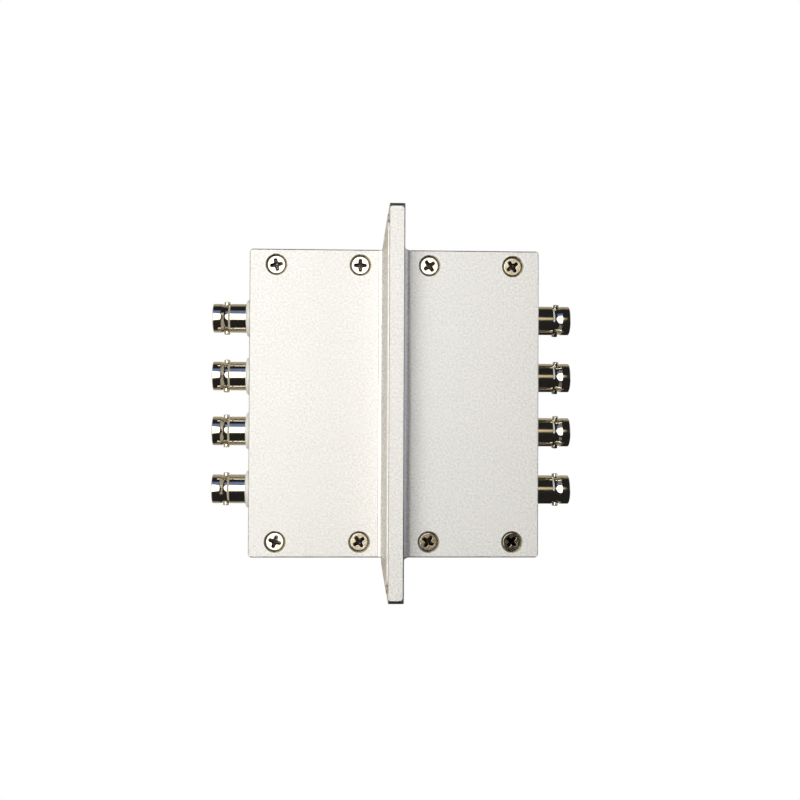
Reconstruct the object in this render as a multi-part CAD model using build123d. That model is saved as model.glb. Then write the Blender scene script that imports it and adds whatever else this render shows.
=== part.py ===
from build123d import *
import os

# Four-way coaxial filter connector. A flat flange stands in the YZ plane with a filter box
# on each side of it, and four bayonet sockets on the far end of each box.
# +X runs through the panel to the right-hand box, +Z is up, and the front covers face -Y.
# The origin is the centre of the flange. Millimetres.

# Flange
flange_thick = 5.15
flange_height = 121.3
flange_depth = 84.0
flange_corner = 1.2
flange_edge = 0.3
land_height = 0.35
land_inset_side = 2.9
land_inset_end = 2.0
land_corner = 6.0
mount_hole_dia = 4.3
mount_hole_side = 16.5
mount_hole_edge = 4.25

# Filter boxes, the same on both sides
box_reach = 43.2
box_height = 97.2
box_depth = 52.0
wall = 3.0
root_radius = 2.4
face_corner = 1.3
long_edge = 0.5
end_edge = 0.4
pocket_corner = 2.5

# Covers and their countersunk screws
cover_thick = 3.0
cover_rib = 0.1
cover_gap = 0.05
screw_dia = 3.0
screw_hole_dia = 3.4
screw_length = 10.0
screw_head_dia = 5.5
sink_dia = 6.9
screw_edge_end = 8.37
screw_edge_side = 4.93
post_metal = 1.9
tap_extra = 2.0
recess_span = 4.0
recess_arm = 1.05
recess_deep = 1.5
recess_foot = 0.4
left_screw_turns = (35, 0, -18, 11)
right_screw_turns = (-33, 36, -40, 34)

# Socket places on each end wall
inner_pitch = 18.5
outer_pitch = 19.5
left_turns = (0, -9, 0, -6)
right_turns = (17, 13, 9, -3)

# Socket shell
barrel_dia = 9.65
barrel_length = 11.2
barrel_bore = 8.1
bore_deep = 8.4
mouth_chamfer = 0.35
collar_length = 2.75
groove_dia = 8.75
groove_end = 5.85
groove_front_slope = 1.4
groove_back_slope = 0.6
lug_dia = 2.0
lug_span = 11.0
lug_place = 4.5
lug_edge = 0.25
stem_dia = 8.0
stem_bore = 6.4

# White insulating bush and the clamping stack inside the wall
bush_dia = 12.5
bush_thick = 3.2
bush_edge = 1.0
spigot_dia = 10.0
washer_thick = 1.0
tag_dia = 11.5
tag_thick = 0.5
tag_reach = 10.5
tag_width = 3.0
tag_hole_dia = 1.3
nut_across = 11.0
nut_thick = 2.5
stem_past_nut = 1.2

# Insulator and centre contact
insulator_dia = 4.9
insulator_setback = 3.2
contact_dia = 2.1
contact_hole = 1.35
contact_hole_deep = 5.0
contact_slot = 0.25
contact_slot_deep = 3.6
contact_setback = 0.3
contact_waist = 1.5
cup_length = 3.6
cup_hole = 1.1
cup_deep = 2.5

# Feed-through filters in the flange wall
shield_offset = 9.0
filter_across = 7.0
filter_head = 3.0
filter_stem_dia = 5.0
filter_past_wall = 0.9
filter_bore = 3.4
lead_dia = 1.0
lead_reach = 8.5

# Straight hook-up wires
wire_dia = 0.9

# Clearances
slip = 0.05

half_flange = flange_thick / 2
wall_out = half_flange + box_reach
wall_in = wall_out - wall
cover_start = half_flange + root_radius + cover_rib
cover_seat = -(box_depth / 2 - cover_thick)
socket_z = (
    inner_pitch / 2 + outer_pitch,
    inner_pitch / 2,
    -inner_pitch / 2,
    -inner_pitch / 2 - outer_pitch,
)
screw_x = (half_flange + screw_edge_end, wall_out - screw_edge_end)
screw_z = box_height / 2 - screw_edge_side
sink_deep = (sink_dia - screw_head_dia) / 2
head_height = (screw_head_dia - screw_dia) / 2
mouth = bush_thick + barrel_length
stack_end = wall + washer_thick + tag_thick + nut_thick
stem_end = stack_end + stem_past_nut
contact_end = stem_end + cup_length
lead_end = half_flange + lead_reach
filter_y = {"signal": 0, "shield": -shield_offset}
mount_y = flange_depth / 2 - mount_hole_side
mount_z = flange_height / 2 - mount_hole_edge
SIDES = {"left": -1, "right": 1}


def save(name, shape):
    # One file for each node.
    export_step(shape, f"parts/{name}.step")


def group(solids):
    # Like pieces kept together as separate solids.
    return Compound(children=list(solids))


def rod(start, end, dia):
    # Round bar along X between two x positions.
    return Pos((start + end) / 2, 0, 0) * Rot(Y=90) * Cylinder(dia / 2, abs(end - start))


def turned(*points):
    # Solid of revolution about X from (x, radius) points.
    return revolve(make_face(Polyline(*points, close=True)), Axis.X)


def hexagon(start, end, across):
    # Hexagonal bar along X between two x positions.
    outline = RegularPolygon(across / 2, 6, major_radius=False)
    return extrude(Plane.YZ.offset(start) * outline, end - start)


def box_block():
    # One box before hollowing: three rounded outlines that cut each other along the axes.
    middle = box_reach / 2
    long_side = 2 * box_reach
    front = Plane.XZ * Pos(0, 0) * RectangleRounded(long_side, box_height, face_corner)
    side = Plane.YZ * RectangleRounded(box_depth, box_height, long_edge)
    top = Plane.XY * RectangleRounded(long_side, box_depth, end_edge)
    block = extrude(front, box_depth, both=True)
    block &= extrude(side, long_side, both=True)
    block &= extrude(top, box_height, both=True)
    block &= Pos(middle, 0, 0) * Box(box_reach, 2 * box_depth, 2 * box_height)
    return Pos(half_flange, 0, 0) * block


def outer_form():
    # Flange with its raised land on the left, and both boxes growing out of it in a cove.
    outline = RectangleRounded(flange_depth, flange_height, flange_corner)
    start = land_height - half_flange
    plate = extrude(Plane.YZ.offset(start) * outline, flange_thick - land_height)
    plate = fillet(plate.faces().filter_by(Axis.X).edges(), flange_edge)
    land_depth = flange_depth - 2 * land_inset_side
    land = RectangleRounded(land_depth, flange_height - 2 * land_inset_end, land_corner)
    plate += extrude(Plane.YZ.offset(-half_flange) * land, 2 * land_height)
    block = box_block()
    form = plate + block + mirror(block, Plane.YZ)
    roots = [edge for edge in form.edges() if is_root(edge)]
    return fillet(roots, root_radius)


def is_root(edge):
    # An edge where a box meets a face of the flange.
    place = edge.center()
    on_face = abs(abs(place.X) - half_flange) < 1e-4
    inside = abs(place.Y) < box_depth / 2 + 0.01 and abs(place.Z) < box_height / 2 + 0.01
    return on_face and inside


def cover_space(start):
    # Space of one cover, from the given x outwards and forwards of its seat.
    length = wall_out + 1 - start
    depth = box_depth / 2 + cover_seat + 1
    middle_y = cover_seat - depth / 2
    return Pos(start + length / 2, middle_y, 0) * Box(length, depth, 2 * box_height)


def pocket():
    # Hollow of the right-hand box, open to the front, with a post left in each corner.
    width = wall_in - half_flange
    height = box_height - 2 * wall
    centre_x = half_flange + width / 2
    metal = screw_dia / 2 + post_metal
    outline = Pos(centre_x, 0) * Rectangle(width, height)
    post_z = screw_z - metal
    for end in (-1, 1):
        inner = Pos(half_flange, end * height / 2)
        inner *= Rectangle(2 * (screw_x[0] + metal - half_flange), height - 2 * post_z)
        outer = Pos(wall_in, end * height / 2)
        outer *= Rectangle(2 * (wall_in - screw_x[1] + metal), height - 2 * post_z)
        outline = outline - inner - outer
    outline = fillet(outline.vertices(), pocket_corner)
    depth = box_depth - cover_thick - wall
    plane = Plane(origin=(0, cover_seat, 0), x_dir=(1, 0, 0), z_dir=(0, 1, 0))
    return extrude(plane * outline, depth)


def housing(form):
    # Cast and milled housing: flange, two open boxes, posts and all drilled holes.
    body = form
    for side in SIDES.values():
        body -= on_side(cover_space(cover_start), side)
        body -= on_side(pocket(), side)
        for z in socket_z:
            hole = rod(wall_in - 1, wall_out + 1, spigot_dia + 2 * slip)
            body -= on_side(Pos(0, 0, z) * hole, side)
        tapped = Cylinder((screw_dia + 2 * slip) / 2, screw_length + tap_extra)
        for x, z in screw_places():
            depth = (screw_length + tap_extra) / 2
            place = Pos(x, -box_depth / 2 + sink_deep + depth, z) * Rot(X=90)
            body -= on_side(place * tapped, side)
    for y in filter_y.values():
        for z in socket_z:
            bar = rod(-flange_thick, flange_thick, filter_stem_dia + 2 * slip)
            body -= Pos(0, y, z) * bar
    for y in (-mount_y, 0, mount_y):
        for z in (-mount_z, mount_z):
            body -= Pos(0, y, z) * rod(-flange_thick, flange_thick, mount_hole_dia)
    return body


def screw_places():
    # The four screws of the right-hand cover.
    return [(x, z) for x in screw_x for z in (-screw_z, screw_z)]


def on_side(shape, side):
    # The right-hand shape, or its mirror image on the left.
    return shape if side > 0 else mirror(shape, Plane.YZ)


def cover(form):
    # Flat cover of the right-hand box with four countersunk holes.
    plate = form & cover_space(cover_start + cover_gap)
    for x, z in screw_places():
        hole = Cylinder(screw_hole_dia / 2, 3 * cover_thick)
        cone_deep = (sink_dia - screw_hole_dia) / 2
        cone = Pos(0, 0, -cone_deep / 2)
        cone *= Cone(screw_hole_dia / 2, sink_dia / 2, cone_deep)
        plate -= Pos(x, -box_depth / 2, z) * Rot(X=90) * (hole + cone)
    return plate


def screw():
    # Countersunk cross-recessed screw, axis along Z, top of the head at z = 0.
    neck = screw_dia / 2
    profile = Polyline(
        (0, 0),
        (screw_head_dia / 2, 0),
        (neck, -head_height),
        (neck, -screw_length + neck / 2),
        (neck / 2, -screw_length),
        (0, -screw_length),
        close=True,
    )
    body = revolve(make_face(Plane.XZ * profile), Axis.Z)
    wide = Rectangle(recess_span, recess_arm)
    foot = Pos(0, 0, -recess_deep) * Rectangle(recess_span * recess_foot, recess_arm / 2)
    blade = loft([wide, foot])
    return body - blade - Rot(Z=90) * blade


def cover_screws(side):
    # Four screws seated in the countersinks of one cover.
    top = -box_depth / 2 + sink_deep
    places = [Pos(side * x, top, z) * Rot(X=90) for x, z in screw_places()]
    turns = left_screw_turns if side < 0 else right_screw_turns
    return [place * Rot(Z=turn) * screw() for place, turn in zip(places, turns)]


def shell():
    # Bayonet shell with x = 0 on the wall's outer face and the mouth towards +X.
    outer = barrel_dia / 2
    inner = barrel_bore / 2
    groove = groove_dia / 2
    body = turned(
        (mouth, inner + mouth_chamfer / 2),
        (mouth, outer - mouth_chamfer),
        (mouth - mouth_chamfer, outer),
        (mouth - collar_length, outer),
        (mouth - collar_length - groove_front_slope, groove),
        (mouth - groove_end + groove_back_slope, groove),
        (mouth - groove_end, outer),
        (bush_thick, outer),
        (bush_thick, stem_dia / 2),
        (-stem_end, stem_dia / 2),
        (-stem_end, stem_bore / 2),
        (mouth - bore_deep, stem_bore / 2),
        (mouth - bore_deep, inner),
        (mouth - mouth_chamfer / 2, inner),
    )
    lug = Pos(0, 0, lug_span / 4 + inner / 2) * Cylinder(lug_dia / 2, lug_span / 2 - inner)
    lug = chamfer(lug.faces().sort_by(Axis.Z)[-1].edges(), lug_edge)
    lug -= rod(-1 - lug_dia, 1 + lug_dia, barrel_bore)
    for turn in (0, 180):
        body += Pos(mouth - lug_place, 0, 0) * Rot(X=turn) * lug
    return body


def bush():
    # Insulating bush: a thick disc outside the wall and a spigot through it.
    hole = stem_dia / 2 + slip
    return turned(
        (bush_thick, hole),
        (bush_thick, bush_dia / 2 - bush_edge),
        (bush_thick - bush_edge, bush_dia / 2),
        (0, bush_dia / 2),
        (0, spigot_dia / 2),
        (-wall, spigot_dia / 2),
        (-wall, hole),
    )


def insulator():
    # Stepped insulator that holds the centre contact in the shell.
    front = mouth - insulator_setback
    step = mouth - bore_deep
    return turned(
        (front, contact_dia / 2 + slip),
        (front, insulator_dia / 2),
        (step, insulator_dia / 2),
        (step, stem_bore / 2 - slip),
        (-stem_end, stem_bore / 2 - slip),
        (-stem_end, contact_waist / 2 + slip),
        (step, contact_waist / 2 + slip),
        (step, contact_dia / 2 + slip),
    )


def contact():
    # Centre contact: slotted spring socket in front, solder cup behind.
    tip = mouth - insulator_setback - contact_setback
    step = mouth - bore_deep
    body = turned(
        (tip, contact_hole / 2),
        (tip, contact_dia / 2),
        (step, contact_dia / 2),
        (step, contact_waist / 2),
        (-stem_end, contact_waist / 2),
        (-stem_end, contact_dia / 2),
        (-contact_end, contact_dia / 2),
        (-contact_end, cup_hole / 2),
        (-contact_end + cup_deep, cup_hole / 2),
        (-contact_end + cup_deep, 0),
        (tip - contact_hole_deep, 0),
        (tip - contact_hole_deep, contact_hole / 2),
    )
    slot = Box(contact_slot_deep, contact_slot, 2 * contact_dia)
    return body - Pos(tip - contact_slot_deep / 2, 0, 0) * slot


def inner_washer():
    # Flat insulating washer under the solder tag, inside the wall.
    start = -wall - washer_thick
    return rod(start, -wall, bush_dia) - rod(start - 1, 0, stem_dia + 2 * slip)


def solder_tag():
    # Ring with a pierced tongue that takes the shield wire.
    start = -wall - washer_thick - tag_thick
    ring = rod(start, start + tag_thick, tag_dia)
    tongue = Pos(start + tag_thick / 2, -tag_reach / 2, 0) * Box(tag_thick, tag_reach, tag_width)
    wire_hole = Pos(0, -shield_offset, 0) * rod(start - 1, 0, tag_hole_dia)
    return ring + tongue - rod(start - 1, 0, stem_dia + 2 * slip) - wire_hole


def socket_nut():
    # Hexagonal nut that clamps the socket to the wall.
    nut = hexagon(-stack_end, -stack_end + nut_thick, nut_across)
    return nut - rod(-stack_end - 1, 0, stem_dia + 2 * slip)


def filter_case():
    # Bolt-in filter case: hexagonal head on the left of the flange wall, stem through it.
    head = hexagon(-half_flange - filter_head, -half_flange, filter_across)
    stem = rod(-half_flange, half_flange + filter_past_wall, filter_stem_dia)
    return head + stem - rod(-4 * flange_thick, 4 * flange_thick, filter_bore)


def filter_core():
    # Potted capacitor that fills the case around the lead.
    left = -half_flange - filter_head
    right = half_flange + filter_past_wall
    return rod(left, right, filter_bore - 2 * slip) - rod(left, right, lead_dia + 2 * slip)


def signal_wire():
    # From a filter lead to the bottom of the solder cup, on the right.
    return rod(lead_end, wall_out - contact_end + cup_deep - slip, wire_dia)


def shield_wire():
    # From a filter lead through the hole in the solder tag, on the right.
    return rod(lead_end, wall_in - washer_thick, wire_dia)


def build_housing():
    form = outer_form()
    save("flanged_housing", housing(form))
    plate = cover(form)
    for name, side in SIDES.items():
        save(f"{name}_cover", on_side(plate, side))
        save(f"{name}_cover_screws", group(cover_screws(side)))


def build_sockets():
    pieces = {"shell": shell(), "bush": bush(), "insulator": insulator(), "contact": contact()}
    stack = {"socket_nuts": socket_nut(), "inner_washers": inner_washer()}
    stack["solder_tags"] = solder_tag()
    for name, side in SIDES.items():
        turns = left_turns if side < 0 else right_turns
        for number, (z, turn) in enumerate(zip(socket_z, turns), start=1):
            place = Pos(side * wall_out, 0, z) * Rot(X=turn) * Rot(Z=0 if side > 0 else 180)
            for piece, shape in pieces.items():
                save(f"{name}_{piece}_{number}", place * shape)
        for piece, shape in stack.items():
            copies = [on_side(Pos(wall_out, 0, z) * shape, side) for z in socket_z]
            save(f"{name}_{piece}", group(copies))


def build_filters():
    lead = rod(-lead_end, lead_end, lead_dia)
    for kind, y in filter_y.items():
        places = [Pos(0, y, z) for z in socket_z]
        for number, place in enumerate(places, start=1):
            save(f"{kind}_filter_case_{number}", place * filter_case())
        save(f"{kind}_filter_cores", group(place * filter_core() for place in places))
        save(f"{kind}_filter_leads", group(place * lead for place in places))


def build_wires():
    wires = {"signal": signal_wire(), "shield": shield_wire()}
    for kind, piece in wires.items():
        for name, side in SIDES.items():
            runs = [on_side(Pos(0, filter_y[kind], z) * piece, side) for z in socket_z]
            save(f"{name}_{kind}_wires", group(runs))


os.makedirs("parts", exist_ok=True)
build_housing()
build_sockets()
build_filters()
build_wires()
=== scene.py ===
# %% [markdown]
# # A four-way coaxial filter connector
# Two blasted aluminium boxes stand back to back on a flange, with bayonet sockets on their far ends.
# The solids come from the CAD frame, and this lesson gives each surface its finish and builds the
# turned pieces again as fine meshes, because a mirror-like barrel shows every facet.

# %% Load the frame
import math

import bmesh
import bpy
import numpy as np
from mathutils import Matrix, Vector


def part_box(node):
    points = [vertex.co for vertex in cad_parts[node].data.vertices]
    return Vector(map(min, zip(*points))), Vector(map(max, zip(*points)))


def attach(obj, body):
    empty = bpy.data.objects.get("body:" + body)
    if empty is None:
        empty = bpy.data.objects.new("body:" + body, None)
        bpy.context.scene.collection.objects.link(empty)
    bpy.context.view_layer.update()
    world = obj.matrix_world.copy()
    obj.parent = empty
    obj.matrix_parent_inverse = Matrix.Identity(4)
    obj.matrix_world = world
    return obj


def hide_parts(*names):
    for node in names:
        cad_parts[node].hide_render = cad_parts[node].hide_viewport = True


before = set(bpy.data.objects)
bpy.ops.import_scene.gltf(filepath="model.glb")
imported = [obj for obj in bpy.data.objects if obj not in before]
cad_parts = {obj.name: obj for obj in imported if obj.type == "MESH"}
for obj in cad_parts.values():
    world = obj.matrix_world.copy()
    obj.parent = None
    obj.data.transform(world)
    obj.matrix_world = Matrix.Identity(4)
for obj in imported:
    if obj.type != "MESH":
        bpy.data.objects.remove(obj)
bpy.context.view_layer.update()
MM = 0.001

# %% [markdown]
# ## Sizes
# Places come from the frame's boxes. Sizes that a box can't tell, such as those of bores, grooves,
# edges and recesses, are written beside the piece that has them.

# %% Read the places of the pieces
sides = {"left": -1, "right": 1}
numbers = (1, 2, 3, 4)
half_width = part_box("left_cover")[0].x * -1
box_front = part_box("left_cover")[0].y
flange_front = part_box("flanged_housing")[0].y


def middle(node):
    """Centre of a node's box."""
    low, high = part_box(node)
    return (low + high) / 2


socket_z = {n: middle(f"left_bush_{n}").z for n in numbers}
print("sockets at z", [round(z / MM, 2) for z in socket_z.values()])

# %% [markdown]
# ## Meshes from arrays
# A turned piece is a profile carried round an axis. The corners of the profile are rounded first,
# because every real edge catches a thin line of light.

# %% Round the corners of a profile
most_of_side = 0.45


def rounded(profile, radius, steps=5):
    """Closed outline with each corner replaced by a parabola: a point at share s between the two
    tangent points A and B about corner P is (1-s)^2 A + 2s(1-s) P + s^2 B. No corner takes more than
    most_of_side of the shorter side beside it."""
    corner = np.asarray(profile, float)
    radius = np.broadcast_to(np.asarray(radius, float), len(corner))
    before = np.roll(corner, 1, axis=0) - corner
    after = np.roll(corner, -1, axis=0) - corner
    reach_before = np.linalg.norm(before, axis=1)
    reach_after = np.linalg.norm(after, axis=1)
    cut = np.minimum(radius, most_of_side * np.minimum(reach_before, reach_after))
    first = corner + before * (cut / reach_before)[:, None]
    last = corner + after * (cut / reach_after)[:, None]
    share = np.linspace(0, 1, steps)[None, :, None]
    arc = (1 - share) ** 2 * first[:, None] + 2 * share * (1 - share) * corner[:, None]
    arc = arc + share**2 * last[:, None]
    return arc.reshape(-1, 2)


# %% Carry a profile round an axis


def spun(profile, columns):
    """Grid of points about X: x is the profile's first value, and y and z are its second value times
    the sine and cosine of the turn."""
    angle = np.arange(columns) * 2 * math.pi / columns
    x = np.repeat(profile[:, :1], columns, axis=1)
    radius = profile[:, 1:2]
    return np.stack([x, radius * np.sin(angle), radius * np.cos(angle)], axis=2)


def closed_faces(rows, columns, first=0):
    """Four-sided faces of a grid that closes both ways."""
    row, column = np.meshgrid(np.arange(rows), np.arange(columns), indexing="ij")
    next_row, next_column = (row + 1) % rows, (column + 1) % columns
    quads = [row * columns + column, row * columns + next_column]
    quads += [next_row * columns + next_column, next_row * columns + column]
    return first + np.stack(quads, axis=2).reshape(-1, 4)


# %% Build, shade and register a piece


def mesh_piece(name, grids):
    """One object from several closed grids, its doubles merged and its faces turned outwards."""
    points, faces, count = [], [], 0
    for grid in grids:
        rows, columns = grid.shape[:2]
        points.append(grid.reshape(-1, 3))
        faces.append(closed_faces(rows, columns, count))
        count += rows * columns
    mesh = bpy.data.meshes.new(name)
    mesh.from_pydata(np.concatenate(points).tolist(), [], np.concatenate(faces).tolist())
    tidy_mesh(mesh)
    return finished(bpy.data.objects.new(name, mesh))


def tidy_mesh(mesh, apart=1e-7, flat=0.0):
    """Merge points that coincide, join triangles that lie in one plane, and turn the faces outwards."""
    work = bmesh.new()
    work.from_mesh(mesh)
    bmesh.ops.remove_doubles(work, verts=work.verts, dist=apart)
    if flat:
        bmesh.ops.dissolve_limit(work, angle_limit=flat, verts=work.verts, edges=work.edges)
    bmesh.ops.recalc_face_normals(work, faces=work.faces)
    work.to_mesh(mesh)
    work.free()


def finished(piece, sharp=math.radians(35)):
    """Smooth shading that keeps flats flat: corners over the sharp angle stay, and each point's
    normal leans to its largest face."""
    bpy.context.scene.collection.objects.link(piece)
    piece.data.shade_smooth()
    piece.data.set_sharp_from_angle(angle=sharp)
    even = piece.modifiers.new("even_shading", "WEIGHTED_NORMAL")
    even.keep_sharp = True
    even.weight = 100
    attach(piece, "root")
    return piece


# %% Copy a CAD node as one smooth skin
skin_apart, skin_flat = 1e-6, math.radians(0.4)


def skin_of(node):
    """The node's own form. Its loose triangles are merged, and those of one plane are joined, so that
    a large flat face outweighs the narrow strips of the rounded edge beside it."""
    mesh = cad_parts[node].data.copy()
    mesh.name = node + "_skin"
    mesh.materials.clear()
    tidy_mesh(mesh, skin_apart, skin_flat)
    piece = finished(bpy.data.objects.new(node + "_skin", mesh))
    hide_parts(node)
    return piece


# %% [markdown]
# ## Camera
# The photograph looks almost straight at the covers, from a little left of the middle. A camera can
# be aimed by eye, but here three small turns and a shift were found by matching corners, screws and
# sockets, so every edge falls where it does in the photograph.

# %% Place the camera
view_yaw, view_pitch, view_roll = (math.radians(a) for a in (2.25, -0.79, -0.27))
view_shift = Vector((-2.79, 373.29, -1.46)) * MM
focal_pixels, frame_pixels, sensor, nearest = 1100, 800, 36, 0.01


def view_turn():
    """Turn from the object's axes to right, away and up as the camera sees them."""
    c, s = math.cos(view_yaw), math.sin(view_yaw)
    yaw = Matrix(((c, -s, 0), (s, c, 0), (0, 0, 1)))
    c, s = math.cos(view_pitch), math.sin(view_pitch)
    pitch = Matrix(((1, 0, 0), (0, c, -s), (0, s, c)))
    c, s = math.cos(view_roll), math.sin(view_roll)
    roll = Matrix(((c, 0, -s), (0, 1, 0), (s, 0, c)))
    return roll @ pitch @ yaw


to_view = view_turn()
right, away, up = (to_view.transposed() @ Vector(v) for v in ((1, 0, 0), (0, 1, 0), (0, 0, 1)))
place = -(to_view.transposed() @ view_shift)
camera_data = bpy.data.cameras.new("camera")
camera_data.sensor_width = sensor
camera_data.lens = focal_pixels / frame_pixels * sensor
camera_data.clip_start = nearest
camera = bpy.data.objects.new("camera", camera_data)
pose = Matrix((right, up, -away)).transposed().to_4x4()
pose.translation = place
camera.matrix_world = pose
bpy.context.scene.collection.objects.link(camera)
bpy.context.scene.camera = camera
print("camera in mm:", [round(v / MM, 1) for v in place], "lens", camera_data.lens)

# %% [markdown]
# ## Node recipes
# A finish is a chain of shader nodes. This small helper keeps each recipe to a few lines: it adds a
# node, sets its values and joins its inputs to the outputs of others.

# %% A helper for shader nodes


class Recipe:
    """One node tree under construction."""

    def __init__(self, tree):
        self.tree = tree
        tree.nodes.clear()

    def feed(self, socket, value):
        """Join an input to another node's output, or set its value."""
        if isinstance(value, bpy.types.NodeSocket):
            self.tree.links.new(value, socket)
        else:
            socket.default_value = value

    def add(self, kind, settings=None, **inputs):
        """New node: settings are its properties, and inputs are values or outputs of other nodes. An
        input is named by its label with _ for a space, or by _ and its number."""
        node = self.tree.nodes.new(kind)
        for key, value in (settings or {}).items():
            setattr(node, key, value)
        for key, value in inputs.items():
            number = key[1:]
            label = int(number) if number.isdigit() else key.replace("_", " ")
            self.feed(node.inputs[label], value)
        return node

    def maths(self, operation, *values):
        """One Math node on one, two or three values."""
        node = self.add("ShaderNodeMath", {"operation": operation})
        for socket, value in zip(node.inputs, values):
            self.feed(socket, value)
        return node.outputs[0]

    def ramp(self, value, low, high, start=0.0, end=1.0):
        """Smooth step of a value from low to high."""
        node = self.add("ShaderNodeMapRange", {"interpolation_type": "SMOOTHSTEP"}, Value=value)
        limits = {"From Min": low, "From Max": high, "To Min": start, "To Max": end}
        for key, number in limits.items():
            node.inputs[key].default_value = number
        return node.outputs[0]

    def blend(self, share, first, second):
        """Mix of two colours by a share."""
        node = self.add("ShaderNodeMix", {"data_type": "RGBA"}, Factor=share)
        for socket, value in ((node.inputs[6], first), (node.inputs[7], second)):
            self.feed(socket, (*value, 1) if isinstance(value, tuple) else value)
        return node.outputs[2]


# %% [markdown]
# ## Light
# The nickel barrels are small mirrors, so they tell what kind of room stood round the object: a large
# soft key light to the front and left with a golden fringe, a bluish strip above it, a pale sheet
# behind, pale walls far to the left and right, two small bluish lamps at the right, and a dark room
# everywhere else. Lamps and cards could be built as objects, but a world of plain colours with soft
# edges is quicker and gives the same mirror images. The camera itself sees plain white.

# %% Colours of the room
white = (1.0, 1.0, 1.0)
dark_room = (0.02, 0.02, 0.02)
pale_sheet = (0.5, 0.45, 0.35)
blue_strip = (0.2, 0.3, 0.6)
gold_fringe = (0.88, 0.73, 0.45)
far_left = (0.55, 0.5, 0.4)
far_right = (0.75, 0.75, 0.75)
blue_lamp = (0.8, 1.0, 2.0)
key_level = 4.0
key_white = (key_level, key_level * 0.99, key_level * 0.97)
print("key light:", [round(v, 2) for v in key_white])

# %% Places of the lights
# Shares to the right run from -1 to 1, and angles in degrees are 0 in front and 90 overhead. A pair is
# where a soft edge starts and ends. A lamp's place is its azimuth and elevation, and its edge is two
# angles from its centre.
key_angle, key_edge, key_below, key_above = 14.0, 0.116, 0.00036, 0.00075
key_end, key_end_soft = -0.45, 0.08
key_soft, fringe_soft = (0.05, -0.06), (0.15, 0.03)
left_half = (0.12, 0.0)
sheet_over, sheet_under = (95.0, 130.0), (-108.0, -140.0)
strip_start, strip_end = (34.0, 44.0), (68.0, 50.0)
wall_start, wall_foot = (0.6, 0.75), (-0.14, 0.01)
lamp_places, lamp_edge = ((80, 20), (78, -1)), (6, 2)
print("lamps at", lamp_places, "key light from", key_end, "to", key_edge)

# %% Paint the room


def direction(azimuth, elevation):
    """Unit vector: azimuth 0 looks from the object to the camera, positive to the right."""
    a, e = math.radians(azimuth), math.radians(elevation)
    return (math.sin(a) * math.cos(e), -math.cos(a) * math.cos(e), math.sin(e))


def paint_world():
    """Colour by two numbers of a direction: its share towards the right, x, and its angle round the
    object's long axis, from under the front over the top. The key light is a large soft lens: its rim
    is where x is key_edge less a narrowing times the square of the angle from its middle. The
    narrowing is key_below under the middle and key_above over it."""
    made = bpy.data.worlds.new("studio")
    bpy.context.scene.world = made
    made.use_nodes = True
    r = Recipe(made.node_tree)
    way = r.add("ShaderNodeTexCoord").outputs["Generated"]
    x, y, z = r.add("ShaderNodeSeparateXYZ", Vector=way).outputs
    angle = r.maths("DEGREES", r.maths("ARCTAN2", z, r.maths("MULTIPLY", y, -1.0)))
    leftward = r.ramp(x, *left_half)
    over_back = r.ramp(angle, *sheet_over)
    under_back = r.maths("MULTIPLY", r.ramp(angle, *sheet_under), leftward)
    room = r.blend(r.maths("MAXIMUM", over_back, under_back), dark_room, pale_sheet)
    strip = r.maths("MULTIPLY", r.ramp(angle, *strip_start), r.ramp(angle, *strip_end))
    room = r.blend(r.maths("MULTIPLY", strip, leftward), room, blue_strip)
    off = r.maths("SUBTRACT", angle, key_angle)
    above = r.maths("GREATER_THAN", off, 0.0)
    bend = r.maths("MULTIPLY_ADD", above, key_below - key_above, -key_below)
    edge = r.maths("MULTIPLY_ADD", r.maths("MULTIPLY", off, off), bend, key_edge)
    past = r.maths("SUBTRACT", x, edge)
    room = r.blend(r.ramp(past, *fringe_soft), room, gold_fringe)
    room = r.blend(r.ramp(past, *key_soft), room, key_white)
    wall_right = r.blend(r.ramp(z, *wall_foot), dark_room, far_right)
    room = r.blend(r.ramp(x, *wall_start), room, wall_right)
    room = r.blend(r.ramp(x, key_end + key_end_soft, key_end - key_end_soft), room, far_left)
    outer, inner = (math.cos(math.radians(a)) for a in lamp_edge)
    for azimuth, elevation in lamp_places:
        dot = r.add("ShaderNodeVectorMath", {"operation": "DOT_PRODUCT"}, Vector=way)
        dot.inputs[1].default_value = direction(azimuth, elevation)
        room = r.blend(r.ramp(dot.outputs["Value"], outer, inner), room, blue_lamp)
    path = r.add("ShaderNodeLightPath")
    shade = r.blend(path.outputs["Is Camera Ray"], room, white)
    back = r.add("ShaderNodeBackground", Color=shade, Strength=1.0)
    out = r.add("ShaderNodeOutputWorld")
    made.node_tree.links.new(back.outputs[0], out.inputs["Surface"])
    return made


world = paint_world()
print("world nodes:", len(world.node_tree.nodes))

# %% [markdown]
# ## Backdrop
# A sheet of paper curves from the floor up behind the object, as in a photo studio. It glows white to
# the camera, takes light like paper, and lets reflections see the painted room behind it.

# %% Make the sweep
floor_drop, sweep_radius, sweep_half = 0.30, 0.5, 2.0
sweep_front, sweep_back, sweep_top, sweep_steps = -0.12, 1.6, 1.8, 17
paper_tone = (0.8, 0.8, 0.78, 1)


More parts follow.
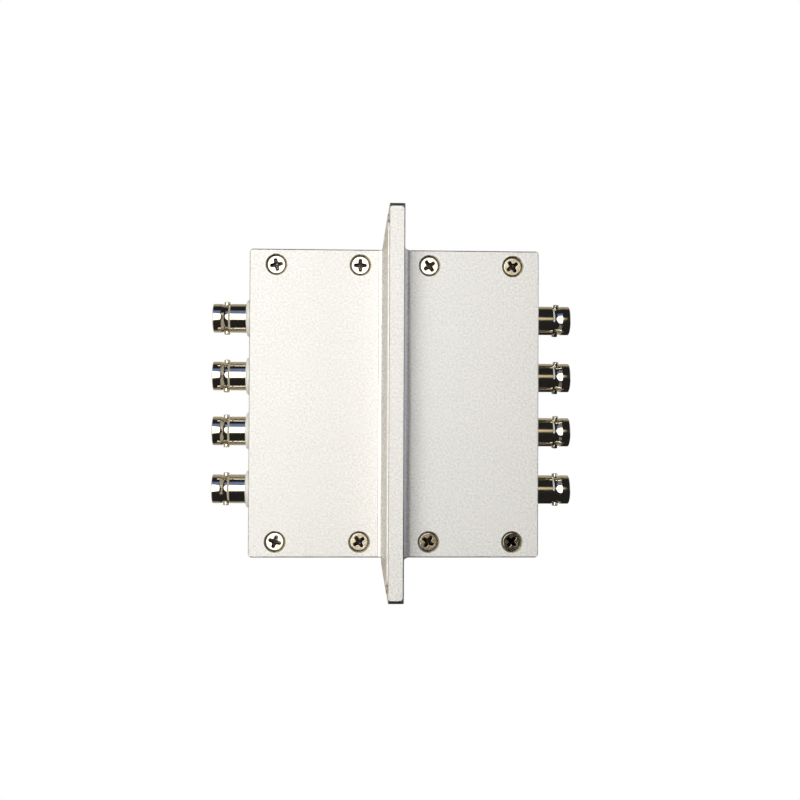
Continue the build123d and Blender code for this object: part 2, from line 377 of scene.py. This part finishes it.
def sweep_sheet():
    """Rows of points along a line, a quarter circle and a line upwards. On the circle, y grows with
    the sine of the turn and z with one minus its cosine."""
    turn = np.linspace(0, math.pi / 2, sweep_steps)
    upright = sweep_back + sweep_radius
    y = np.concatenate([[sweep_front], sweep_back + sweep_radius * np.sin(turn), [upright]])
    z = np.concatenate([[0.0], sweep_radius * (1 - np.cos(turn)), [sweep_top]]) - floor_drop
    points = [(x, b, c) for x in (-sweep_half, sweep_half) for b, c in zip(y, z)]
    count = len(y)
    faces = [(i, i + count, i + count + 1, i + 1) for i in range(count - 1)]
    mesh = bpy.data.meshes.new("backdrop")
    mesh.from_pydata(points, [], faces)
    mesh.shade_smooth()
    sheet = bpy.data.objects.new("backdrop", mesh)
    bpy.context.scene.collection.objects.link(sheet)
    return sheet


def white_to_camera():
    """Paper that glows plain white for the camera, and lets glossy rays pass to the painted room."""
    made = bpy.data.materials.new("white_paper")
    made.use_nodes = True
    r = Recipe(made.node_tree)
    path = r.add("ShaderNodeLightPath")
    paper = r.add("ShaderNodeBsdfDiffuse", Color=paper_tone)
    glow = r.add("ShaderNodeEmission", Color=(*white, 1), Strength=1.0)
    clear = r.add("ShaderNodeBsdfTransparent")
    passed = r.maths("MAXIMUM", path.outputs["Is Glossy Ray"], path.outputs["Is Transmission Ray"])
    unseen = r.add("ShaderNodeMixShader", _0=passed, _1=paper.outputs[0], _2=clear.outputs[0])
    seen = path.outputs["Is Camera Ray"]
    mixed = r.add("ShaderNodeMixShader", _0=seen, _1=unseen.outputs[0], _2=glow.outputs[0])
    out = r.add("ShaderNodeOutputMaterial")
    made.node_tree.links.new(mixed.outputs[0], out.inputs["Surface"])
    return made


backdrop = sweep_sheet()
backdrop.data.materials.append(white_to_camera())
print("backdrop faces:", len(backdrop.data.polygons))

# %% [markdown]
# ## Blasted aluminium
# The housing and covers are blasted with fine beads: a pale metal with a dull, even grain about half
# a millimetre across, faint clouds and a few darker pits. The grain could be an image, but noise in
# Object coordinates runs round every corner without a seam. The pits scatter light as paint does, so
# the finish is only partly metallic.

# %% Helpers for every finish


def new_finish(name):
    """An empty material with Object coordinates in millimetres and a Principled shader."""
    made = bpy.data.materials.new(name)
    made.use_nodes = True
    r = Recipe(made.node_tree)
    coordinates = r.add("ShaderNodeTexCoord").outputs["Object"]
    mapped = r.add("ShaderNodeMapping", Vector=coordinates)
    mapped.inputs["Scale"].default_value = (1 / MM,) * 3
    shader = r.add("ShaderNodeBsdfPrincipled")
    out = r.add("ShaderNodeOutputMaterial")
    made.node_tree.links.new(shader.outputs[0], out.inputs["Surface"])
    return made, r, mapped.outputs[0], shader


def noise(r, place, scale, detail=2.0, roughness=0.5):
    """Noise value at a number of features for each millimetre."""
    node = r.add("ShaderNodeTexNoise", Vector=place)
    node.inputs["Scale"].default_value = scale
    node.inputs["Detail"].default_value = detail
    node.inputs["Roughness"].default_value = roughness
    return node.outputs["Fac"]


def bumped(r, shader, height, depth, strength=1.0, under=None):
    """Bump of a height from 0 to 1 with a depth in millimetres."""
    node = r.add("ShaderNodeBump", Height=height, Strength=strength, Distance=depth * MM)
    if under is not None:
        r.tree.links.new(under, node.inputs["Normal"])
    r.tree.links.new(node.outputs[0], shader.inputs["Normal"])
    return node.outputs[0]


# %% The rolled rim of the flange's front, in millimetres
rim_half, rim_side, rim_end, rim_round = 2.575, 0.4, 59.55, 0.9
rim_reach, rim_behind, rim_roll = 0.4, 0.6, -2.1
# The rim's dark colour is painted shade, where the flange's front rolls over into its sides.
rim_painted_shade = (0.2, 0.2, 0.22)


def length_of(r, spans):
    """Square root of the sum of squares of two node values."""
    return r.maths("SQRT", r.maths("ADD", *(r.maths("MULTIPLY", s, s) for s in spans)))


def eased_rim(r, place):
    """How far a point of the flange's front lies outside a rounded rectangle, up to rim_reach, and
    zero elsewhere: the narrow band where the front rolls over into the sides. The distance is the
    length of what x and z stand out of the inner rectangle, less the corner's radius."""
    x, y, z = r.add("ShaderNodeSeparateXYZ", Vector=place).outputs
    spans = []
    for value, inner in ((x, rim_half - rim_side - rim_round), (z, rim_end - rim_round)):
        spans.append(r.maths("MAXIMUM", r.maths("SUBTRACT", r.maths("ABSOLUTE", value), inner), 0.0))
    past = r.maths("MAXIMUM", r.maths("SUBTRACT", length_of(r, spans), rim_round), 0.0)
    outside = r.maths("MINIMUM", past, rim_reach)
    return r.maths("MULTIPLY", outside, r.maths("LESS_THAN", y, flange_front / MM + rim_behind))


# %% Mix the blasted aluminium
cloud_tone = (0.86, 0.855, 0.835)
pit_tone = (0.6, 0.57, 0.48)


def blasted(name, pale, dark, feature, low, high, depth, metal, rolls=False):
    """Blasted metal: two colours mixed by a grain of a given number of features for each millimetre,
    faint clouds, and shallow pits. The share that isn't metallic scatters light as the fine pits do."""
    made, r, place, shader = new_finish(name)
    grain = noise(r, place, feature, 3.0, 0.65)
    cloud = noise(r, place, 0.12, 3.0, 0.55)
    pits = r.ramp(noise(r, place, 1.7, 1.0), 0.72, 0.8)
    tone = r.blend(r.ramp(grain, 0.3, 0.7), dark, pale)
    tone = r.blend(r.maths("MULTIPLY", r.ramp(cloud, 0.42, 0.72), 0.4), tone, cloud_tone)
    tone = r.blend(r.maths("MULTIPLY", pits, 0.3), tone, pit_tone)
    rolled = None
    if rolls:
        # The rolled rim gets a bump that tilts its normal, and its band is painted dark as shade.
        rim = eased_rim(r, place)
        tone = r.blend(r.ramp(rim, 0.0, 0.06), tone, rim_painted_shade)
        rolled = bumped(r, shader, r.maths("MULTIPLY", r.maths("MULTIPLY", rim, rim), rim_roll), 1.0)
    r.tree.links.new(tone, shader.inputs["Base Color"])
    r.tree.links.new(r.ramp(grain, 0.2, 0.8, low, high), shader.inputs["Roughness"])
    shader.inputs["Metallic"].default_value = metal
    bumped(r, shader, grain, depth, under=rolled)
    return made


aluminium = blasted(
    "blasted_aluminium", (0.98, 0.977, 0.963), (0.74, 0.736, 0.718),
    feature=1.5, low=0.42, high=0.5, depth=0.06, metal=0.38, rolls=True,
)
cove_metal = blasted(
    "cove_aluminium", (0.96, 0.955, 0.945), (0.66, 0.656, 0.65),
    feature=1.5, low=0.28, high=0.38, depth=0.018, metal=0.55,
)
# The eased edges are smoother and mirror more; their darker colour is painted shade along the edges.
edge_metal_painted_shade = blasted(
    "edge_aluminium_painted_shade", (0.66, 0.64, 0.63), (0.52, 0.5, 0.49),
    feature=1.5, low=0.16, high=0.24, depth=0.02, metal=1.0,
)
print("blasted finishes:", aluminium.name, cove_metal.name, edge_metal_painted_shade.name)

# %% [markdown]
# ## Countersinks
# The cones under the screw heads are cut, with fine chatter marks round each screw, and their dark
# colour is painted shade in the recess round each head. All eight are one finish: the places of a
# cover's screws are folded onto one, and the rings follow the distance from it.

# %% Places of the screws
head_radius, sink_radius = 2.75, 3.45


def screw_centres(side):
    """Centre of each screw of a cover, in metres, from the box of the four."""
    low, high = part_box(f"{side}_cover_screws")
    inward = head_radius * MM
    inner, outer = sorted(abs(v) for v in (low.x, high.x))
    found = {}
    for row, z in (("low", low.z + inward), ("high", high.z - inward)):
        for column, x in (("near", inner + inward), ("far", outer - inward)):
            found[f"{row}_{column}"] = (sides[side] * x, z)
    return found


screw_x = sorted({round(abs(x) / MM, 2) for x, z in screw_centres("right").values()})
screw_z = abs(screw_centres("right")["high_near"][1]) / MM
print("screws at x", screw_x, "z", round(screw_z, 2))

# %% Mix the turned aluminium
sink_rings = 38.0


def turned_aluminium_painted_shade():
    """The cut cone under a screw head. The chatter is a sine of the distance to the nearest screw."""
    made, r, place, shader = new_finish("turned_aluminium_painted_shade")
    x, y, z = r.add("ShaderNodeSeparateXYZ", Vector=place).outputs
    spans = []
    for value, offsets in ((x, screw_x), (z, (screw_z,))):
        folded = r.maths("ABSOLUTE", value)
        near = [r.maths("ABSOLUTE", r.maths("SUBTRACT", folded, offset)) for offset in offsets]
        spans.append(near[0] if len(near) == 1 else r.maths("MINIMUM", *near))
    rings = r.maths("SINE", r.maths("MULTIPLY", length_of(r, spans), sink_rings))
    chatter = noise(r, place, 1.4, 3.0, 0.7)
    # The cone's dark colour is painted shade in the recess round each head; the chatter varies it.
    sink_painted_shade = r.blend(r.ramp(chatter, 0.35, 0.7), (0.15, 0.135, 0.095), (0.4, 0.365, 0.28))
    r.tree.links.new(sink_painted_shade, shader.inputs["Base Color"])
    r.tree.links.new(r.ramp(chatter, 0.2, 0.8, 0.3, 0.45), shader.inputs["Roughness"])
    shader.inputs["Metallic"].default_value = 1.0
    bumped(r, shader, r.maths("MULTIPLY_ADD", rings, 0.3, chatter), 0.01)
    return made


turned = turned_aluminium_painted_shade()
print("turned finish:", turned.name)

# %% [markdown]
# ## Housing and covers
# The housing is one casting and each cover a flat plate. Their CAD forms are right already, so the
# scene copies them as smooth skins and only chooses a finish for each face. The eased edges are
# smoother than the blasted faces, so they mirror more, and their darker colour is painted shade.

# %% Choose the finish of each face
flat_slope, edge_slope = 0.9995, 0.9
cove_end, cove_deep, cove_high = 5.03, 38, 57
sink_margin = 0.03


def mark_faces(piece):
    """Choose each face's finish by its place and slope: 1 for the eased edges, 2 for the coves beside
    the flange, 3 for the countersinks, and 0 for all else. A face is sloped if no share of its normal
    reaches flat_slope, and an edge if it doesn't face the front or back."""
    mesh = piece.data
    values = np.empty((2, len(mesh.polygons) * 3), np.float32)
    mesh.polygons.foreach_get("center", values[0])
    mesh.polygons.foreach_get("normal", values[1])
    centre, normal = values[0].reshape(-1, 3) / MM, values[1].reshape(-1, 3)
    far_x, far_y, far_z = np.abs(centre).T
    sloped = np.max(np.abs(normal), axis=1) < flat_slope
    eased = sloped & (np.abs(normal[:, 1]) < edge_slope)
    beside_flange = (far_x < cove_end) & (far_y < cove_deep) & (far_z < cove_high)
    kind = np.where(eased, 1, 0)
    kind = np.where(sloped & beside_flange, 2, kind)
    aside = np.min(np.abs(far_x[:, None] - np.array(screw_x)), axis=1)
    beside_screw = np.hypot(aside, np.abs(far_z - screw_z)) < sink_radius + sink_margin
    below_front = (centre[:, 1] > box_front / MM + sink_margin) & (centre[:, 1] < 0)
    kind = np.where(beside_screw & below_front, 3, kind)
    mesh.polygons.foreach_set("material_index", kind.astype(np.int32))
    return np.bincount(kind, minlength=4).tolist()


for node in ("flanged_housing", "left_cover", "right_cover"):
    piece = skin_of(node)
    for finish in (aluminium, edge_metal_painted_shade, cove_metal, turned):
        piece.data.materials.append(finish)
    print(piece.name, "faces by finish:", mark_faces(piece))

# %% [markdown]
# ## Bayonet sockets
# Each shell is turned from brass and nickel plated: a collar at the mouth, a groove with a long
# slope behind it, a plain barrel, and two lugs that a plug's sleeve locks on. Each could be modelled
# by hand from a cylinder, but the profile of a turned piece is its drawing, so it is written once and
# carried round the axis.

# %% Sizes of a socket, in millimetres
mouth = abs(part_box("right_shell_1")[1].x - half_width) / MM
wall = 3.0
bush_thick = abs(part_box("right_bush_1")[1].x - half_width) / MM
bush_radius = (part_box("right_bush_1")[1].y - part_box("right_bush_1")[0].y) / 2 / MM
stem_end = abs(half_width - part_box("right_shell_1")[0].x) / MM
barrel, bore, groove, stem, stem_bore = 4.825, 4.05, 4.375, 4.0, 3.2
collar, slope, groove_end, back_slope, bore_deep = 2.75, 1.4, 5.85, 0.6, 8.4
lug_radius, lug_reach, lug_place = 1.0, 5.5, 4.5
lug_sunk, lug_edge, lug_foot_edge = 0.3, 0.28, 0.05
lug_turns = {"left": (0, -9, 0, -6), "right": (17, 13, 9, -3)}
shell_edges = [0.2, 0.32, 0.12, 0.6, 0.2, 0.1, 0.1, 0.05, 0.1, 0.1, 0.1, 0.1]
print("socket mouth", round(mouth, 2), "bush", round(bush_thick, 2), "by", round(bush_radius, 2))

# %% Draw a shell and a lug


def shell_profile():
    """Outline of the shell's wall as (x, radius), with x from the box's end wall."""
    return [
        (mouth, bore),
        (mouth, barrel),
        (mouth - collar, barrel),
        (mouth - collar - slope, groove),
        (mouth - groove_end + back_slope, groove),
        (mouth - groove_end, barrel),
        (bush_thick, barrel),
        (bush_thick, stem),
        (-stem_end, stem),
        (-stem_end, stem_bore),
        (mouth - bore_deep, stem_bore),
        (mouth - bore_deep, bore),
    ]


def lug_grid(turn):
    """A stud that stands out of the barrel: a profile about its own axis, then turned about X by the
    sine and cosine of the turn."""
    foot = bore + lug_sunk
    profile = [(foot, 0), (lug_reach, 0), (lug_reach, lug_radius), (foot, lug_radius)]
    stud = spun(rounded(profile, [0, 0, lug_edge, lug_foot_edge]), columns=40)
    height, across, along = stud[..., 0], stud[..., 1], stud[..., 2]
    c, s = math.cos(turn), math.sin(turn)
    x, y, z = mouth - lug_place + along, across * c - height * s, across * s + height * c
    return np.stack([x, y, z], axis=2)


def socket_at(grid, side, number):
    """Millimetres from the socket's own axis to metres in the frame, mirrored on the left."""
    moved = grid * MM
    moved[..., 0] = sides[side] * (moved[..., 0] + half_width)
    moved[..., 2] += socket_z[number]
    return moved


# %% Mix the nickel plate


def nickel_plate():
    """A bright, slightly warm plate with faint wear in its tone and gloss."""
    made, r, place, shader = new_finish("nickel_plate")
    wear = noise(r, place, 0.6, 4.0, 0.6)
    tone = r.blend(r.ramp(wear, 0.35, 0.7), (0.74, 0.7, 0.61), (0.66, 0.61, 0.51))
    r.tree.links.new(tone, shader.inputs["Base Color"])
    r.tree.links.new(r.ramp(wear, 0.2, 0.8, 0.06, 0.13), shader.inputs["Roughness"])
    shader.inputs["Metallic"].default_value = 1.0
    bumped(r, shader, noise(r, place, 1.5, 3.0), 0.004)
    return made


nickel = nickel_plate()
print("plate:", nickel.name)

# %% Turn the shells
wall_grid = spun(rounded(shell_profile(), shell_edges, steps=6), columns=160)
for side in sides:
    for number in numbers:
        turn = math.radians(lug_turns[side][number - 1])
        grids = [wall_grid, lug_grid(turn), lug_grid(turn + math.pi)]
        grids = [socket_at(grid, side, number) for grid in grids]
        piece = mesh_piece(f"{side}_socket_shell_{number}", grids)
        piece.data.materials.append(nickel)
        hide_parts(f"{side}_shell_{number}")
print("shell points", wall_grid.shape)

# %% [markdown]
# ## White bushes and insulators
# The bush is a moulded plastic washer with a softly rounded rim, and the insulator a stepped plastic
# core. Both are turned from profiles as the shells are. Plastic scatters a little light under its
# surface, which takes the hardness off its edges.

# %% Mix the white plastics


def white_plastic(name, colour):
    """White plastic with faint specks and shallow scattering."""
    made, r, place, shader = new_finish(name)
    speck = noise(r, place, 2.0, 3.0)
    tone = r.blend(speck, tuple(c * 0.97 for c in colour), colour)
    r.tree.links.new(tone, shader.inputs["Base Color"])
    r.tree.links.new(r.ramp(speck, 0.2, 0.8, 0.34, 0.46), shader.inputs["Roughness"])
    shader.inputs["Subsurface Weight"].default_value = 0.25
    shader.inputs["Subsurface Radius"].default_value = (1.0, 0.9, 0.8)
    shader.inputs["Subsurface Scale"].default_value = 0.6 * MM
    bumped(r, shader, speck, 0.01)
    return made


bush_white = white_plastic("bush_plastic", (0.9, 0.915, 0.905))
insulator_white = white_plastic("insulator_plastic", (0.9, 0.89, 0.85))
print("plastics:", bush_white.name, insulator_white.name)

# %% Turn the bushes and insulators
spigot, slip = 5.0, 0.05
bush_profile = [
    (bush_thick, stem + slip), (bush_thick, bush_radius), (0, bush_radius),
    (0, spigot), (-wall, spigot), (-wall, stem + slip),
]
bush_edges = [0.1, 1.0, 0.1, 0.1, 0.1, 0.1]
bush_grid = spun(rounded(bush_profile, bush_edges, steps=8), columns=128)
setback, insulator_radius, contact_radius, waist = 3.2, 2.45, 1.05, 0.75
step = mouth - bore_deep
insulator_profile = [
    (mouth - setback, contact_radius + slip), (mouth - setback, insulator_radius),
    (step, insulator_radius), (step, stem_bore - slip), (-stem_end, stem_bore - slip),
    (-stem_end, waist + slip), (step, waist + slip), (step, contact_radius + slip),
]
insulator_edge = 0.12
insulator_grid = spun(rounded(insulator_profile, insulator_edge, steps=4), columns=96)
for side in sides:
    for number in numbers:
        grid = socket_at(bush_grid, side, number)
        bush = mesh_piece(f"{side}_socket_bush_{number}", [grid])
        bush.data.materials.append(bush_white)
        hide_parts(f"{side}_bush_{number}")
        grid = socket_at(insulator_grid, side, number)
        core = mesh_piece(f"{side}_socket_insulator_{number}", [grid])
        core.data.materials.append(insulator_white)
        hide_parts(f"{side}_insulator_{number}")
print("bush points", bush_grid.shape, "insulator points", insulator_grid.shape)

# %% [markdown]
# ## Contacts and inner pieces
# The contacts are small and stand deep in the sockets, so they keep the CAD form with a gold finish.
# What the closed boxes hide still gets its own plain finish, for whoever opens them.

# %% Mix the metals and the resin


def plain_metal(name, colour, low, high):
    """A metal of one colour with a fine speck, and a gloss between two values of roughness."""
    made, r, place, shader = new_finish(name)
    speck = noise(r, place, 1.5, 3.0)
    tone = r.blend(speck, tuple(c * 0.9 for c in colour), colour)
    r.tree.links.new(tone, shader.inputs["Base Color"])
    r.tree.links.new(r.ramp(speck, 0.2, 0.8, low, high), shader.inputs["Roughness"])
    shader.inputs["Metallic"].default_value = 1.0
    bumped(r, shader, speck, 0.005)
    return made


def potting_resin():
    """A dark, glossy resin with slow swirls."""
    made, r, place, shader = new_finish("potting_resin")
    swirl = noise(r, place, 0.8, 4.0)
    tone = r.blend(swirl, (0.02, 0.03, 0.06), (0.05, 0.07, 0.12))
    r.tree.links.new(tone, shader.inputs["Base Color"])
    r.tree.links.new(r.ramp(swirl, 0.2, 0.8, 0.12, 0.3), shader.inputs["Roughness"])
    bumped(r, shader, swirl, 0.05)
    return made


# %% Finish the contacts and the inner pieces
gold = plain_metal("gold_plate", (0.93, 0.72, 0.36), 0.14, 0.22)
for side in sides:
    for number in numbers:
        skin_of(f"{side}_contact_{number}").data.materials.append(gold)

inner_finish = {
    "socket_nuts": nickel,
    "inner_washers": bush_white,
    "solder_tags": plain_metal("tinned_brass", (0.82, 0.8, 0.75), 0.25, 0.4),
    "wires": plain_metal("tinned_wire", (0.8, 0.8, 0.78), 0.2, 0.35),
    "filter_leads": plain_metal("tinned_lead", (0.8, 0.8, 0.78), 0.2, 0.35),
    "filter_case": plain_metal("filter_metal", (0.84, 0.8, 0.7), 0.16, 0.28),
    "filter_cores": potting_resin(),
}
finished_inside = 0
for name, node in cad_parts.items():
    for part_of_name, finish in inner_finish.items():
        if part_of_name in name:
            node.data.materials.clear()
            node.data.materials.append(finish)
            finished_inside += 1
print("inner nodes with a finish:", finished_inside)

# %% [markdown]
# ## Cover screws
# A countersunk screw with a cross recess. The cross could be cut with a boolean, but that leaves ragged
# faces. Here the recess is a height map over the head: its depth at a point is the least of the full
# depth, the distance to the wing's flank times a steep slope, and the distance to the wing's tip times
# another. The rest of the screw is a profile with a real thread. Each screw stopped at its own turn.

# %% Sizes of a screw, in millimetres
neck_radius, screw_length = 1.5, 10.0
recess_reach, recess_half, recess_depth, recess_soft = 2.03, 0.56, 1.45, 0.05
flank_slope, tip_slope = 6.0, 4.0
head_edge, head_edge_drop = 0.12, 0.1
thread_pitch, thread_depth, thread_start = 0.5, 0.14, 2.0
point_length, point_share = 0.8, 0.35
screw_columns = 120
screw_turns = {"left": {"low_near": 35, "high_near": 0, "low_far": -18, "high_far": 11},
               "right": {"low_near": -33, "high_near": 36, "low_far": -40, "high_far": 34}}
print("screw length", screw_length, "over", 2 * head_radius)

# %% Shape one screw


def recess(u, v):
    """Depth of the cross at a point of the head: the least of three depths, softened to a smooth
    curve by the logarithm of one plus its exponential. A wing narrows a little to its tip and widens
    towards the middle."""
    far, near = np.maximum(np.abs(u), np.abs(v)), np.minimum(np.abs(u), np.abs(v))
    half = recess_half * (1.02 - 0.14 * far / recess_reach) + 0.2 * np.exp(-((far / 0.8) ** 2))
    flank = flank_slope * (half - near)
    tip = tip_slope * (recess_reach - far - 0.35 * (near / recess_half) ** 2)
    depth = np.minimum(np.minimum(flank, tip), recess_depth)
    return recess_soft * np.log1p(np.exp(np.clip(depth / recess_soft, -40, 40)))


def screw_grid():
    """Rings from the head's centre out over the rim and down the thread to the point. The thread's
    radius swings with the turn minus the height over the pitch."""
    angle = np.arange(screw_columns) * 2 * math.pi / screw_columns
    flat_end = head_radius - head_edge
    top = np.concatenate([[0.0], np.linspace(0.03, 2.3, 60), np.linspace(2.36, flat_end, 6)])
    quarter = np.linspace(0.2, 1, 5) * math.pi / 2
    rim = head_radius - head_edge * (1 - np.sin(quarter))
    rim_drop = head_edge_drop * (1 - np.cos(quarter))
    cone = np.linspace(head_radius, neck_radius, 6)[1:]
    cone_drop = head_radius - cone + head_edge_drop
    shank = np.linspace(head_radius - neck_radius + head_edge_drop, screw_length, 120)[1:]
    radius = np.concatenate([top, rim, cone, np.full(len(shank), neck_radius), [0.0]])
    drop = np.concatenate([np.zeros(len(top)), rim_drop, cone_drop, shank, [screw_length]])
    r, h = (values[:, None] * np.ones(screw_columns) for values in (radius, drop))
    on_thread = (h > thread_start) & (r > 0)
    swing = 0.5 + 0.5 * np.cos(angle - 2 * math.pi * h / thread_pitch)
    r = np.where(on_thread, r - thread_depth * swing, r)
    point = np.clip((h - screw_length + point_length) / point_length, 0, 1)
    r = r * (1 - point_share * point)
    u, v = r * np.cos(angle), r * np.sin(angle)
    h = h + np.where(np.arange(len(radius))[:, None] < len(top), recess(u, v), 0)
    return np.stack([u, v, h], axis=2)


def open_faces(rows, columns, first):
    """Faces of a grid that closes only round its rings."""
    faces = closed_faces(rows, columns, first)
    return faces[: (rows - 1) * columns]


# %% Place the four screws of a cover


def turned_screws(side):
    """The four screws of one cover as one piece of separate closed shells."""
    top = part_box(f"{side}_cover_screws")[0].y
    grid = screw_grid() * MM
    rows, columns = grid.shape[:2]
    points, faces, radii, depths, count = [], [], [], [], 0
    for place, (centre_x, centre_z) in screw_centres(side).items():
        turn = math.radians(screw_turns[side][place])
        c, s = math.cos(turn), math.sin(turn)
        u, v, h = grid[..., 0], grid[..., 1], grid[..., 2]
        placed = [centre_x + u * c - v * s, top + h, centre_z + u * s + v * c]
        points.append(np.stack(placed, axis=2).reshape(-1, 3))
        faces.append(open_faces(rows, columns, count))
        radii.append(np.hypot(u, v).ravel() / MM)
        depths.append(h.ravel() / MM)
        count += rows * columns
    name = f"{side}_cover_screw_set"
    mesh = bpy.data.meshes.new(name)
    mesh.from_pydata(np.concatenate(points).tolist(), [], np.concatenate(faces).tolist())
    from_axis = mesh.attributes.new("from_axis", "FLOAT", "POINT")
    from_axis.data.foreach_set("value", np.concatenate(radii).astype(np.float32))
    below_top = mesh.attributes.new("below_top", "FLOAT", "POINT")
    below_top.data.foreach_set("value", np.concatenate(depths).astype(np.float32))
    tidy_mesh(mesh)
    piece = finished(bpy.data.objects.new(name, mesh), math.radians(50))
    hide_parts(f"{side}_cover_screws")
    return piece


# %% Mix the steel and place both sets
turning_rings = 42.0
# Below the top of a screw the steel is painted dark as shade in the recess, flecked with painted
# glints.
recess_painted_shade, recess_painted_glint = (0.012, 0.01, 0.008), (0.26, 0.24, 0.2)
steel_pale, steel_brown = (0.56, 0.52, 0.45), (0.46, 0.41, 0.33)


def screw_steel():
    """Turned steel with rings about the axis and brown blots. Below the top it is painted dark as shade
    in the recess, with lighter specks as painted glints."""
    made, r, place, shader = new_finish("screw_steel")
    radius = r.add("ShaderNodeAttribute", {"attribute_name": "from_axis"}).outputs["Fac"]
    rings = r.maths("SINE", r.maths("MULTIPLY", radius, turning_rings))
    blot = noise(r, place, 0.9, 3.0)
    depth = r.add("ShaderNodeAttribute", {"attribute_name": "below_top"}).outputs["Fac"]
    fleck = r.ramp(noise(r, place, 2.4, 2.0), 0.6, 0.7)
    # The recess is painted dark as shade, with painted glints in its specks.
    hollow = r.blend(fleck, recess_painted_shade, recess_painted_glint)
    tone = r.blend(r.ramp(blot, 0.3, 0.7), steel_pale, steel_brown)
    tone = r.blend(r.ramp(depth, 0.1, 0.3), tone, hollow)
    r.tree.links.new(tone, shader.inputs["Base Color"])
    r.tree.links.new(r.ramp(blot, 0.2, 0.8, 0.08, 0.16), shader.inputs["Roughness"])
    shader.inputs["Metallic"].default_value = 1.0
    dents = bumped(r, shader, noise(r, place, 1.1, 3.0), 0.012)
    bumped(r, shader, rings, 0.0006, under=dents)
    return made


steel = screw_steel()
for side in sides:
    screws = turned_screws(side)
    screws.data.materials.append(steel)
    print(screws.name, len(screws.data.polygons), "faces")

# %% [markdown]
# ## Finish
# The dressed part has to stay inside the box of the CAD solids.

# %% Set the view transform
bpy.context.scene.view_settings.view_transform = "Standard"
